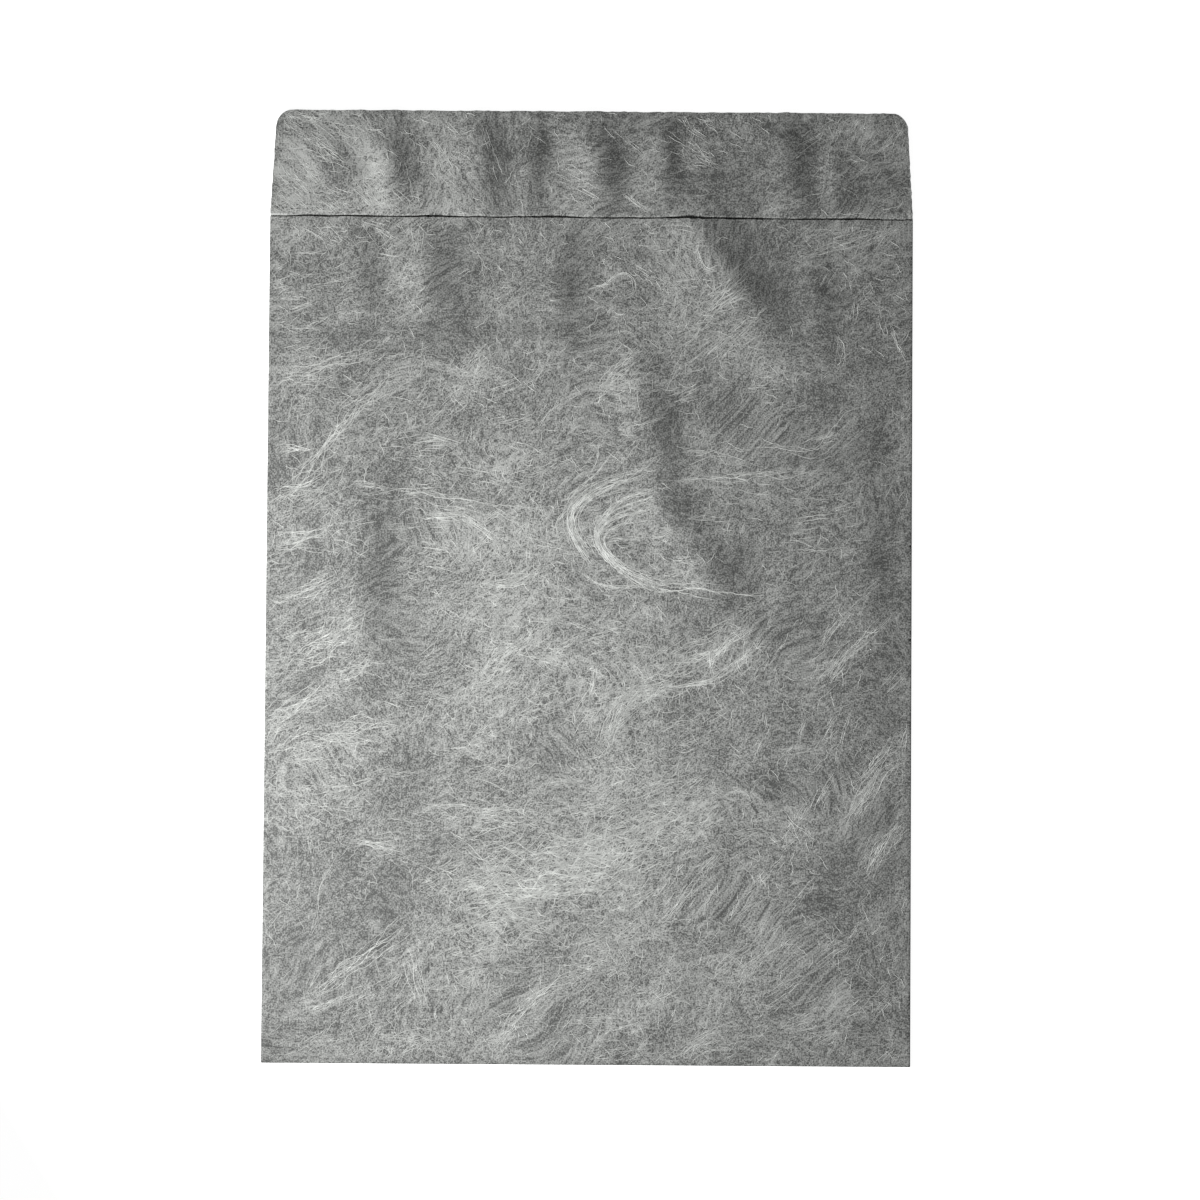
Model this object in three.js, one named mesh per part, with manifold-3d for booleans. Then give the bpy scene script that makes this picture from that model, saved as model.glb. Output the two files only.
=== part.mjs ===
// Spunbond envelope lying flat with its flap open: one sheet, cut, folded and glued into a pocket.
// Millimetres. +X across the pocket, +Y from the bottom fold to the flap, +Z up from the far panel.
import * as THREE from "three";
import { mergeVertices } from "three/addons/utils/BufferGeometryUtils.js";
import Module from "manifold-3d";

const wasm = await Module();
wasm.setup();

// The cut sheet
const sheetThickness = 0.2;
const bodyWidth = 241.3; // over the two side folds
const bodyLength = 317.5; // from the bottom fold to the mouth
const flapLength = 40.5; // beyond the mouth
const flapTaper = 2.2; // how far each side of the flap leans in at its end
const flapCornerRadius = 6.4;
const tabWidth = 14; // the side tabs that are glued down inside the pocket

// The folds and the glue
const sideFoldInside = 0.3; // radius inside the side folds
const glueDepth = 0.02; // how far the glued faces press into each other
const foldLedge = 0.6; // the flat strip where a panel meets its fold

// How the panels lie
const pocketLoft = 1; // rise of the near panel once it is clear of its folds
const shoulderWidth = 24; // over which it rises
const mouthDroop = 0.8; // how far its loose edge sags back at the mouth
const droopLength = 60;
const flapSpring = 1; // how far the flap stands up from its score line
const scoreWidth = 2.4;
const flapLowest = 0.05; // the least clearance under the lifted flap

// The meshing
const columnPitch = 3.8;
const flapRowPitch = 4.2;
const mouthRowPitch = 6.2;
const bottomRowPitch = 19;
const foldFacets = 6;
const cornerFacets = 8;
const trimMargin = 2;

// Buckles in the sheet: where the middle of each ridge lies, across from the centre line and along from
// the mouth, the way it runs, and its half width, half length and height.
const flapBuckles = [
  { across: -98, along: 21, turn: -52, width: 5.5, length: 14, height: 1.3 },
  { across: -76, along: 24, turn: 88, width: 7, length: 15, height: 2 },
  { across: -41, along: 26, turn: 90, width: 5, length: 15, height: 1.3 },
  { across: -24, along: 22, turn: 86, width: 4.5, length: 12, height: 1.4 },
  { across: 1, along: 23, turn: 92, width: 7.5, length: 17, height: 2.3 },
  { across: 27, along: 24, turn: 84, width: 6, length: 14, height: 1.7 },
  { across: 73, along: 24, turn: 94, width: 6, length: 17, height: 1.9 },
  { across: 91, along: 20, turn: 84, width: 4.5, length: 11, height: 1.4 },
];
const panelBuckles = [
  { across: -88, along: -24, turn: 92, width: 5.5, length: 20, height: 1.2 },
  { across: -66, along: -27, turn: 68, width: 8, length: 22, height: 1.6 },
  { across: -15, along: -26, turn: 86, width: 7, length: 21, height: 1.4 },
  { across: 54, along: -24, turn: 112, width: 8, length: 24, height: 1.7 },
  { across: 81, along: -28, turn: 92, width: 5.5, length: 22, height: 1.2 },
  { across: 38, along: -92, turn: -72, width: 11, length: 60, height: 0.9 },
  { across: -88, along: -165, turn: 94, width: 13, length: 80, height: 1.1 },
  { across: -8, along: -126, turn: 70, width: 13, length: 34, height: 0.7 },
  { across: -22, along: -196, turn: 62, width: 15, length: 48, height: 0.8 },
  { across: 62, along: -220, turn: 40, width: 16, length: 60, height: 0.9 },
];

// What follows from the sizes
const sideFoldRadius = sideFoldInside + sheetThickness;
const tabBase = sheetThickness - glueDepth;
const panelBase = tabBase + 2 * sideFoldRadius - sheetThickness;
const bottomFoldRadius = (panelBase + sheetThickness) / 2;
const panelHalf = bodyWidth / 2 - sideFoldRadius;
const overallLength = bodyLength + flapLength;

// 0 at the start of a stretch and 1 past its end, with no kink at either
function easedStep(distance, stretch) {
  return THREE.MathUtils.smoothstep(distance, 0, stretch);
}

// Height of all the ridges of a list at one place
function buckleHeight(buckles, across, along) {
  let height = 0;
  for (const buckle of buckles) {
    const turn = THREE.MathUtils.degToRad(buckle.turn);
    const dx = across - buckle.across;
    const dy = along - buckle.along;
    const alongRidge = (dx * Math.cos(turn) + dy * Math.sin(turn)) / buckle.length;
    const acrossRidge = (dy * Math.cos(turn) - dx * Math.sin(turn)) / buckle.width;
    height += buckle.height * Math.exp(-(alongRidge ** 2) - acrossRidge ** 2);
  }
  return height;
}

// Underside of the far panel, which lies flat, and of the flap, which springs up past its score line
function farUnderside(x, y) {
  const pastMouth = y - bodyLength;
  if (pastMouth <= 0) return 0;
  const lifted = flapSpring + buckleHeight(flapBuckles, x, pastMouth);
  return Math.max(lifted * easedStep(pastMouth, scoreWidth), flapLowest);
}

// Underside of the near panel, level with its folds round three sides and loose at the mouth
function nearUnderside(x, y) {
  const fromSide = panelHalf - foldLedge - Math.abs(x);
  const fromBottom = y - bottomFoldRadius - foldLedge;
  const clear = easedStep(fromSide, shoulderWidth) * easedStep(fromBottom, shoulderWidth);
  const droop = mouthDroop * (1 - easedStep(bodyLength - y, droopLength));
  const buckled = buckleHeight(panelBuckles, x, y - bodyLength);
  return panelBase + clear * (pocketLoft - droop + buckled);
}

// Evenly spaced places from one end of a stretch to the other
function spread(from, to, pitch) {
  const count = Math.max(1, Math.round((to - from) / pitch));
  return Array.from({ length: count + 1 }, (_, i) => from + ((to - from) * i) / count);
}

// Rows down the near panel, close together at the mouth and further apart towards the bottom
function panelRows(from, to) {
  const meanPitch = (mouthRowPitch + bottomRowPitch) / 2;
  const count = Math.max(2, Math.round((to - from) / meanPitch));
  const ease = (mouthRowPitch * count) / (to - from);
  const place = (t) => ease * t + (1 - ease) * t * t;
  return Array.from({ length: count + 1 }, (_, i) => to - (to - from) * place(1 - i / count));
}

// A layer of the sheet over a grid of columns and rows, with its underside at a given height
function layer(columns, rows, underside) {
  const geometry = new THREE.BoxGeometry(1, 1, 1, columns.length - 1, rows.length - 1, 1);
  const place = geometry.getAttribute("position");
  for (let i = 0; i < place.count; i++) {
    const x = columns[Math.round((place.getX(i) + 0.5) * (columns.length - 1))];
    const y = rows[Math.round((place.getY(i) + 0.5) * (rows.length - 1))];
    const top = place.getZ(i) > 0 ? sheetThickness : 0;
    place.setXYZ(i, x, y, underside(x, y) + top);
  }
  return geometry;
}

// A fold: the sheet turned back over itself, drawn in section and run along the crease
function fold({ outward, crease, base, length, radius, lowerLeg, upperLeg }) {
  const section = new THREE.Shape();
  section.moveTo(-lowerLeg, 0);
  section.absarc(0, radius, radius, -Math.PI / 2, Math.PI / 2, false);
  section.lineTo(-upperLeg, 2 * radius);
  section.lineTo(-upperLeg, 2 * radius - sheetThickness);
  section.absarc(0, radius, radius - sheetThickness, Math.PI / 2, -Math.PI / 2, true);
  section.lineTo(-lowerLeg, sheetThickness);
  const geometry = new THREE.ExtrudeGeometry(section, {
    depth: length,
    curveSegments: foldFacets,
    bevelEnabled: false,
  });
  const up = new THREE.Vector3(0, 0, 1);
  const run = new THREE.Vector3().crossVectors(outward, up);
  const start = crease.clone().addScaledVector(outward, -radius).addScaledVector(up, base);
  return geometry.applyMatrix4(new THREE.Matrix4().makeBasis(outward, up, run).setPosition(start));
}

// Outline of the far panel and the flap: leaning sides and round corners at the flap's end
function farOutline() {
  const lean = Math.atan2(flapTaper, flapLength);
  const half = bodyWidth / 2;
  const cornerRun = flapCornerRadius / Math.tan((Math.PI / 2 + lean) / 2);
  const centreX = half - flapTaper - cornerRun;
  const centreY = overallLength - flapCornerRadius;
  const outline = new THREE.Shape();
  outline.moveTo(-half, bottomFoldRadius);
  outline.lineTo(half, bottomFoldRadius);
  outline.lineTo(half, bodyLength);
  outline.absarc(centreX, centreY, flapCornerRadius, lean, Math.PI / 2, false);
  outline.absarc(-centreX, centreY, flapCornerRadius, Math.PI / 2, Math.PI - lean, false);
  outline.lineTo(-half, bodyLength);
  return outline;
}

// A closed geometry as a solid that can be joined and cut
function solid(geometry) {
  const bare = geometry.clone();
  bare.deleteAttribute("normal");
  bare.deleteAttribute("uv");
  const merged = mergeVertices(bare, 1e-5);
  return new wasm.Manifold(
    new wasm.Mesh({
      numProp: 3,
      vertProperties: merged.getAttribute("position").array,
      triVerts: new Uint32Array(merged.index.array),
    }),
  );
}

function geometryOf(body) {
  const mesh = body.getMesh();
  const geometry = new THREE.BufferGeometry();
  geometry.setAttribute("position", new THREE.BufferAttribute(mesh.vertProperties, 3));
  geometry.setIndex(new THREE.BufferAttribute(mesh.triVerts, 1));
  geometry.computeVertexNormals();
  return geometry;
}

// The far panel and the flap, cut to their outline
function farPanel() {
  const edge = bodyWidth / 2 + trimMargin;
  const columns = spread(-edge, edge, columnPitch);
  const rows = [bottomFoldRadius - trimMargin, bodyLength];
  rows.push(...spread(bodyLength + scoreWidth / 2, overallLength + trimMargin, flapRowPitch));
  const tallest = flapSpring + flapBuckles.reduce((sum, buckle) => sum + buckle.height, 0);
  const cutter = new THREE.ExtrudeGeometry(farOutline(), {
    depth: tallest + 2 * trimMargin,
    curveSegments: cornerFacets,
    bevelEnabled: false,
  });
  cutter.translate(0, 0, -trimMargin);
  return solid(layer(columns, rows, farUnderside)).intersect(solid(cutter));
}

// The near panel, folded up from the bottom
function nearPanel() {
  const across = spread(-panelHalf + foldLedge, panelHalf - foldLedge, columnPitch);
  const along = panelRows(bottomFoldRadius + foldLedge, bodyLength);
  const columns = [-panelHalf, ...across, panelHalf];
  const rows = [bottomFoldRadius, ...along];
  return solid(layer(columns, rows, nearUnderside));
}

// A side fold with the tab that is glued to the far panel
function sideFold(side) {
  return solid(
    fold({
      outward: new THREE.Vector3(side, 0, 0),
      crease: new THREE.Vector3((side * bodyWidth) / 2, side > 0 ? bodyLength : bottomFoldRadius, 0),
      base: tabBase,
      length: bodyLength - bottomFoldRadius,
      radius: sideFoldRadius,
      lowerLeg: tabWidth - sideFoldRadius,
      upperLeg: foldLedge,
    }),
  );
}

// The bottom fold, which joins the two panels
function bottomFold() {
  return solid(
    fold({
      outward: new THREE.Vector3(0, -1, 0),
      crease: new THREE.Vector3(panelHalf, 0, 0),
      base: 0,
      length: 2 * panelHalf,
      radius: bottomFoldRadius,
      lowerLeg: foldLedge,
      upperLeg: foldLedge,
    }),
  );
}

const envelopeBody = farPanel().add(nearPanel()).add(bottomFold()).add(sideFold(-1)).add(sideFold(1));

const greySheet = new THREE.MeshStandardMaterial({
  color: new THREE.Color().setRGB(0.33, 0.335, 0.325),
  roughness: 0.62,
  metalness: 0,
});

const envelope = new THREE.Mesh(geometryOf(envelopeBody), greySheet);
envelope.name = "envelope";
envelope.position.y = -overallLength / 2;

const part = new THREE.Group();
part.add(envelope);

export default part;
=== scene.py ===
# A spunbond envelope lying flat, its flap open: a folded sheet of felted fibre, its strands and its stage.
# Sizes in the lists and sums below are millimetres, across from the centre line and along from the mouth,
# with the flap above the mouth. Meshes are written in metres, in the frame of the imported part.
import math

import bpy
import numpy as np
from bpy.props import FloatProperty, FloatVectorProperty, IntProperty, PointerProperty
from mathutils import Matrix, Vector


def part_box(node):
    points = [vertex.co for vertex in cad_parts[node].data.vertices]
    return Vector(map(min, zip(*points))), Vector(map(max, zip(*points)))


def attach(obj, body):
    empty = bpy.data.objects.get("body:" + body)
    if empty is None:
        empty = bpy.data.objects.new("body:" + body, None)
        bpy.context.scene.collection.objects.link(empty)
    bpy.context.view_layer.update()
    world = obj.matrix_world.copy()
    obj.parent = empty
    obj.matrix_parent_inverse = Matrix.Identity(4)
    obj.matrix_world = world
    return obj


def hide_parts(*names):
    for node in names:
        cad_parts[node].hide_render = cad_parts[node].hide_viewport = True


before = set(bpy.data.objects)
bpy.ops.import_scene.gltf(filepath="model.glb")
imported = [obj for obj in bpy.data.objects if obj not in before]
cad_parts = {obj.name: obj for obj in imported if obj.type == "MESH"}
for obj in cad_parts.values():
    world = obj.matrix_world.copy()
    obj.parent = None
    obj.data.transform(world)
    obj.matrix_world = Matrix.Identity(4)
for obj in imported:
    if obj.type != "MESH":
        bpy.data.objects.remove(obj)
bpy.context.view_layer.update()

bl_info = {
    "name": "Spunbond envelope",
    "version": (1, 0, 0),
    "blender": (4, 5, 0),
    "location": "View3D > Sidebar > Envelope",
    "description": "Folds a spunbond envelope, lays its fibres and sets its stage",
    "category": "Add Mesh",
}

MM = 0.001
LOW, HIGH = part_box("envelope")
BODY_WIDTH = (HIGH[0] - LOW[0]) / MM
OVERALL_LENGTH = (HIGH[1] - LOW[1]) / MM

# Ridges of the buckled sheet: where the middle of each lies, the way it runs in degrees, and its half
# width, half length and height.
FLAP_BUCKLES = [
    (-98, 21, -52, 5.5, 14, 1.4), (-77, 24, 88, 6.5, 15, 2.2), (-42, 25, 90, 5.5, 16, 1.9),
    (-24, 21, 86, 4.5, 12, 1.8), (1, 23, 92, 7, 17, 2.5), (28, 23, 84, 5.5, 14, 2.0),
    (73, 24, 94, 6, 17, 2.1), (91, 20, 84, 4.5, 11, 1.7),
]
PANEL_BUCKLES = [
    (-88, -24, 92, 5.5, 20, 1.2), (-62, -24, 88, 6.5, 21, 1.6), (-14, -25, 86, 6.5, 21, 1.5),
    (52, -22, 122, 8, 30, 1.9), (84, -26, 92, 5.5, 22, 1.1), (22, -78, -76, 9, 32, 1.6),
    (42, -128, -60, 9, 30, 1.7), (-87, -140, 92, 10, 52, 1.7), (8, -175, 85, 9, 30, 1.1),
    (-22, -206, 62, 15, 48, 0.8), (62, -224, 40, 16, 56, 0.9),
]

# Soft random wrinkles of the flap and of the near panel: the seed, wavelength and height of each kind.
FLAP_WRINKLES = [(11, 17.0, 0.13), (12, 6.0, 0.055)]
PANEL_WRINKLES = [(21, 24.0, 0.14), (22, 9.0, 0.03)]

# How a cut edge strays from its line: the wavelength and height of its waves, the seeds of the flap's sides,
# of its end and of the mouth, and how far past the right side's waves the left side's are read.
CUT_WAVES = [(14.0, 0.04), (3.4, 0.07)]
SIDE_CUT = 31
END_CUT = 41
MOUTH_CUT = 51
OTHER_SIDE = 500.0

# The stretches across of the faint straight crease, and the nicks along the right side fold.
LIPS = [(-92, -62), (-36, -19)]
NICKS = [-122.9, -158.1]

# Where the mesh is coarser or finer than its cell, with the rows at the crease and at each nick, and the
# room that they keep free.
TAB_CELL = 4.5
FAR_CELL = 9.0
SCORE_CELL = 0.5
CORNER_STEPS = 8
SIDE_FOLD_STEPS = 7
BOTTOM_FOLD_STEPS = 9
LIP_ROWS = (-0.1, 0.2, 0.5)
NICK_ROWS = (-0.75, -0.45, -0.15, 0.15, 0.45, 0.75)
FINE_ROOM = 0.5

# Skeins of long strands in the felt: how many strands, how far apart they wander, and the way they run.
STOUT_SKEINS = [
    (6, 0.35, [(22, -94), (7, -99), (-3, -105), (-7, -110), (-7, -116), (-4, -123), (2, -131)]),
    (5, 0.35, [(20, -97), (6, -102), (-2, -107), (-6, -114), (-5, -120), (-2, -126)]),
    (4, 0.25, [(-6, -109), (-8, -115), (-5, -122), (-1, -128), (3, -132)]),
    (3, 0.35, [(1, -101), (-9, -111), (-12, -116), (-10, -124)]),
    (2, 0.4, [(10, -87), (4, -95), (-4, -103), (-9, -109)]),
    (2, 0.2, [(3, -84), (2, -92), (-2, -99)]),
    (3, 0.25, [(2, -131), (-2, -134), (7, -139), (22, -139), (31, -138)]),
    (5, 0.25, [(26, -102), (15, -105), (8, -110), (3, -116), (3, -121)]),
    (4, 0.2, [(26, -105), (16, -108), (8, -112), (3, -118), (4, -124)]),
    (5, 0.25, [(26, -109), (17, -111), (8, -114), (4, -118), (4, -123), (8, -128), (16, -134), (26, -138)]),
    (6, 0.4, [(8, -112), (3, -117), (4, -123), (8, -128), (16, -134), (26, -138), (37, -138)]),
    (3, 0.3, [(22, -115), (12, -115), (6, -119), (6, -124), (11, -130), (20, -135)]),
    (3, 0.7, [(20, -137), (33, -138), (46, -139), (54, -140)]),
    (1, 0.3, [(46, -140), (60, -142), (69, -141)]),
    (2, 0.25, [(22, -121), (28, -120), (34, -117)]),
    (6, 0.45, [(26, -177), (36, -176), (46, -174), (55, -168), (63, -161), (67, -154)]),
    (6, 0.65, [(42, -169), (48, -164), (53, -159), (61, -153)]),
    (2, 0.25, [(46, -174), (45, -166), (46, -161), (49, -157)]),
    (3, 0.3, [(27, -193), (32, -191), (42, -189)]),
    (4, 0.5, [(91, -169), (97, -163), (103, -158), (117, -145)]),
    (2, 0.12, [(-93, -241), (-99, -252), (-101, -264), (-105, -277)]),
    (4, 0.8, [(-104, -295), (-90, -283), (-82, -278), (-64, -262)]),
    (3, 0.7, [(-119, -60), (-92, -54), (-79, -50)]),
    (3, 0.4, [(-48, -112), (-40, -117), (-32, -124)]),
    (3, 0.3, [(-31, -65), (-27, -65), (-22, -61), (-18, -59), (-15, -54)]),
]
UPPER_SKEINS = [
    (1, 0.3, [(36, -114), (45, -111)]),
    (1, 0.3, [(47, -127), (53, -131)]),
    (3, 0.8, [(-90, -104), (-64, -104), (-41, -108), (-13, -111)]),
    (3, 0.6, [(-62, -113), (-42, -112)]),
    (6, 1.1, [(-46, -142), (-26, -138), (-13, -132)]),
    (3, 0.8, [(30, -101), (60, -98), (91, -96)]),
    (5, 0.9, [(37, -41), (51, -26), (61, -17), (68, -16)]),
    (3, 0.6, [(41, -37), (64, -25)]),
    (6, 1.1, [(3, -66), (12, -58), (19, -50)]),
    (3, 0.8, [(76, -16), (97, -9), (118, -1)]),
    (2, 0.9, [(56, -87), (86, -87), (99, -75), (118, -68)]),
    (5, 1.5, [(-114, -111), (-98, -89), (-86, -74), (-70, -59)]),
    (4, 1.2, [(-46, -66), (-42, -58), (-37, -50)]),
    (2, 0.2, [(-2, -27), (5, -25), (9, -22), (13, -21), (16, -24), (16, -28), (13, -30), (10, -28),
              (9, -25)]),
    (2, 0.3, [(39, -9), (43, -19), (50, -18)]),
    (3, 0.6, [(111, -38), (115, -47), (119, -56)]),
    (3, 0.6, [(92, -42), (94, -50), (93, -60)]),
    (4, 0.8, [(-119, -88), (-101, -88)]),
    (7, 1.5, [(-120, -109), (-109, -105), (-95, -100)]),
    (6, 1.5, [(-119, -125), (-108, -122), (-96, -119)]),
    (4, 1.0, [(-115, -146), (-104, -141), (-92, -135)]),
]
FLAP_SKEINS = [
    (5, 0.9, [(-109, 32), (-99, 25), (-89, 20)]),
    (3, 0.4, [(11, 9), (17, 5), (23, 1)]),
    (1, 0.5, [(37, 26), (40, 22), (47, 19), (56, 18)]),
    (3, 0.6, [(-54, 29), (-55, 25), (-53, 20)]),
    (3, 0.4, [(108, 26), (112, 30), (114, 34)]),
]
MIDDLE_SKEINS = [
    (6, 2.6, [(-118, -176), (-100, -165), (-82, -155)]),
    (4, 1.6, [(-96, -176), (-86, -171), (-78, -165)]),
    (6, 1.1, [(-119, -190), (-106, -183), (-96, -178)]),
    (5, 1.6, [(-115, -200), (-96, -197), (-74, -193), (-68, -191)]),
    (7, 1.1, [(-47, -180), (-31, -166), (-20, -157), (-12, -150)]),
    (7, 1.3, [(8, -187), (18, -180), (30, -175), (42, -172)]),
    (6, 1.3, [(21, -174), (34, -167), (46, -163), (60, -154)]),
    (5, 0.8, [(6, -200), (15, -181), (22, -175)]),
    (2, 0.3, [(0, -182), (3, -166)]),
    (5, 0.8, [(-21, -166), (-15, -166), (-8, -170)]),
    (5, 1.2, [(90, -170), (96, -165), (105, -157)]),
    (3, 0.4, [(86, -162), (91, -154), (100, -146)]),
    (2, 0.3, [(75, -126), (100, -125)]),
    (7, 1.5, [(99, -215), (109, -205), (119, -194)]),
    (2, 0.4, [(78, -198), (80, -191), (83, -185)]),
    (2, 0.3, [(66, -192), (67, -185)]),
]
LOWER_SKEINS = [
    (4, 0.4, [(-91, -234), (-79, -236), (-68, -238)]),
    (13, 3.6, [(-61, -247), (-31, -248), (-8, -245), (18, -235), (41, -225)]),
    (7, 2.0, [(-46, -270), (-27, -263), (-11, -261)]),
    (7, 1.1, [(-45, -257), (-8, -253), (7, -252)]),
    (5, 2.2, [(-54, -227), (-37, -224), (-19, -225)]),
    (4, 0.6, [(-105, -299), (-91, -294), (-76, -286)]),
    (4, 1.0, [(-66, -273), (-63, -286), (-60, -300)]),
    (4, 1.2, [(-75, -311), (-62, -308), (-50, -311)]),
    (4, 0.4, [(28, -266), (38, -254), (44, -248)]),
    (3, 0.4, [(39, -264), (44, -257), (50, -249)]),
    (6, 1.1, [(101, -250), (109, -235), (120, -223)]),
    (5, 0.9, [(97, -228), (104, -217), (110, -209)]),
    (7, 1.1, [(-36, -311), (-19, -294), (-4, -285)]),
    (5, 0.8, [(34, -314), (44, -309), (56, -306)]),
    (2, 0.9, [(69, -221), (78, -226), (85, -236)]),
    (3, 0.4, [(-7, -301), (5, -301), (15, -301)]),
]
LONG_SKEINS = UPPER_SKEINS + FLAP_SKEINS + MIDDLE_SKEINS + LOWER_SKEINS
SKEINS = STOUT_SKEINS + LONG_SKEINS

# The pieces that the long strands make: their skeins, how thick a strand is beside the usual ones, how
# many strands there are for each one listed, and the least part of its skein that a strand runs along.
STRAND_GROUPS = {
    "stout_strands": (STOUT_SKEINS, 1.15, 1.5, 0.8),
    "long_strands": (LONG_SKEINS, 0.95, 2.0, 0.5),
}

# How far the strands of a skein wander beside what its row says, the slope at which they fray off it, their
# long sway beside their wandering, and the wavelengths of the sway and of the fine crimp with its reach.
WANDER = 1.8
FRAY = 0.025
SWAY_LENGTH = 22.0
SWAY = 0.5
CRIMP = (4.2, 0.16)

# How far past its strands a skein pales the felt, how many strands pale it fully, and by how much.
SKEIN_RIM = 0.6
FULL_SKEIN = 9.0
SKEIN_PALENESS = 0.13

# The way the felt was laid and how much that counts beside the skeins, how far a skein combs the felt, how
# finely its route is followed for that, and how much felt stays loose.
LAY = math.radians(30.0)
LAY_PULL = 0.10
COMB_REACH = 17.0
COMB_STEP = 6.0
LOOSE = 0.25

# Where the felt lies thicker and paler, or thinner and darker, and, on the flap and on the near panel,
# painted highlights on the lit sides and painted shade on the shaded sides of the buckles' ridges: the middle
# of each patch, the way it runs in degrees, its half length and half width, and how much paler (+) or
# darker (-) it is.
VEILS_AND_PAINTED_LIGHT = [
    (-30, -122, 10, 28, 14, 0.22), (-40, -109, 0, 22, 6, -0.14), (-33, -147, 8, 20, 7, 0.16),
    (-36, -172, 60, 30, 10, 0.18), (-94, -166, 70, 18, 5, 0.10), (-100, -210, 40, 22, 14, 0.06),
    (-94, -186, 50, 16, 7, -0.18), (-114, -190, 50, 12, 6, 0.10), (-70, -162, 80, 12, 8, -0.12),
    (-12, -221, 20, 26, 8, 0.10), (22, -231, 28, 30, 10, 0.07), (12, -178, 84, 36, 10, 0.30),
    (-39, -195, 60, 16, 7, 0.14), (-16, -206, 20, 14, 8, -0.12), (44, -168, 30, 22, 10, 0.08),
    (12, -60, 80, 14, 7, 0.12), (-28, -91, 30, 14, 7, 0.18), (-46, -64, 60, 14, 7, 0.20),
    (50, -44, -60, 26, 7, 0.07), (32, -24, 80, 17, 8, 0.29), (9, -15, 80, 16, 6, 0.17),
    (84, -8, 20, 14, 6, 0.12), (72, -56, 0, 18, 8, 0.10), (-96, -52, 20, 22, 9, 0.10),
    (-69, -22, 84, 16, 6, 0.14), (-31, -22, 88, 16, 7, 0.12), (-106, 26, 70, 24, 12, 0.40),
    (-83, 15, 112, 22, 7, 0.42), (-100, 20, 125, 14, 5, -0.34), (-70, 17, 90, 11, 4, -0.24),
    (-56, 19, 90, 22, 6, 0.17), (-50, 16, 90, 16, 5, 0.22), (-8, 23, 96, 18, 6, 0.14),
    (18, 22, 96, 16, 5, 0.10), (88, 20, 90, 16, 5, 0.12), (-36, -272, 20, 26, 10, 0.09),
    (20, -262, 45, 24, 9, 0.14), (104, -268, 40, 20, 7, 0.06), (70, -254, 30, 14, 6, 0.07),
    (-56, -310, 2, 30, 6, 0.13), (108, -213, 46, 26, 8, 0.16), (30, -294, 20, 34, 12, 0.08),
    (30, -86, 88, 18, 7, -0.24), (50, -70, -70, 20, 8, -0.08), (51, -137, 60, 22, 9, -0.17),
    (34, -113, -60, 9, 5, -0.18), (65, -20, 118, 24, 9, -0.30), (-51, -21, 86, 20, 7, -0.19),
    (-5, -22, 84, 20, 6, -0.20), (-34, 15, 90, 18, 6, -0.26), (-19, 19, 90, 15, 4, -0.22),
    (11, 20, 90, 22, 6, -0.26), (29, 26, 90, 14, 4, -0.24), (39, 30, 90, 10, 5, 0.12),
    (50, 16, 20, 22, 12, -0.13), (82, 18, 90, 20, 6, -0.22), (102, 11, 20, 20, 6, -0.18),
    (70, 26, 90, 10, 5, -0.09), (96, 31, 60, 10, 5, 0.06), (88, -66, 60, 28, 14, -0.10),
    (-76, -130, 88, 34, 7, -0.18), (-85, -171, 20, 8, 6, 0.16), (-100, -172, 30, 14, 7, -0.28),
    (-58, -205, 60, 24, 12, -0.14), (-50, -240, 20, 22, 10, -0.16), (-103, -94, 80, 24, 13, -0.12),
    (34, -190, 80, 20, 8, -0.07), (90, -244, 60, 26, 10, -0.11), (-99, -264, 60, 34, 11, -0.17),
    (-74, -264, 70, 24, 11, -0.20), (-87, -252, 52, 18, 5, 0.10), (103, -230, 60, 20, 9, -0.10),
    (92, -91, 10, 24, 9, -0.14), (-34, -43, 0, 30, 5, -0.16), (-91, -47, 0, 20, 5, -0.24),
    (86, -26, 110, 18, 7, -0.18), (-80, -18, 90, 16, 5, -0.16), (112, -150, 90, 110, 8, -0.12),
    (-108, -242, 90, 12, 7, -0.10), (-85, 4, 0, 34, 3, 0.18), (26, -206, 40, 14, 7, 0.08),
    (114, -80, 90, 24, 5, 0.08), (-105, -137, 80, 16, 6, -0.18), (51, -27, 90, 9, 7, -0.14),
    (86, -148, 80, 60, 22, -0.06), (5, -148, 0, 10, 6, -0.08), (-12, -175, 88, 20, 7, 0.08),
    (114, -26, 80, 12, 6, 0.08), (63, -280, 20, 16, 7, 0.12),
]

# Long fibres in the felt: the degrees, strength and seed of each way they run, how far bundles and fibres
# are drawn out, the pitch and fineness of stout and fine ones, and how much the fine ones count.
STREAKS = [(20, 1.0, 23.7), (58, 0.9, 47.4), (-65, 0.5, 71.1), (-20, 0.6, 94.8)]
BUNDLE_STRETCH = 3.6
STREAK_STRETCH = 7.0
STOUT_LINES = (2.2, 0.07)
FINE_LINES = (1.1, 0.12)
FINE_STRENGTH = 0.6

# Curled fibres in the felt: the pitch and seed of each layer, their curls' size and reach, their fineness.
CURLS = [(2.6, 3.0), (1.9, 71.0), (1.5, 133.0)]
CURLING = (2.2, 1.3)
CURL_FINENESS = 0.08

# The size and reach of the felt's flow and of its crimp.
FLOW = (60.0, 22.0)
FELT_CRIMP = (3.4, 0.6)

# Layers that come and go: size, detail and roughness of their noise, between which of its values they fade
# in, and from which strength to which.
FADES = {
    "bundles": ((9.0, 2.0, 0.6), (0.40, 0.72, 0.35, 1.0)),
    "patches": ((7.0, 1.0), (0.36, 0.62, 0.25, 1.0)),
    "pieces": ((1.7,), (0.38, 0.60, 0.0, 1.0)),
    "strands": ((2.6, 1.0), (0.3, 0.7, 0.1, 1.0)),
}

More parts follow.
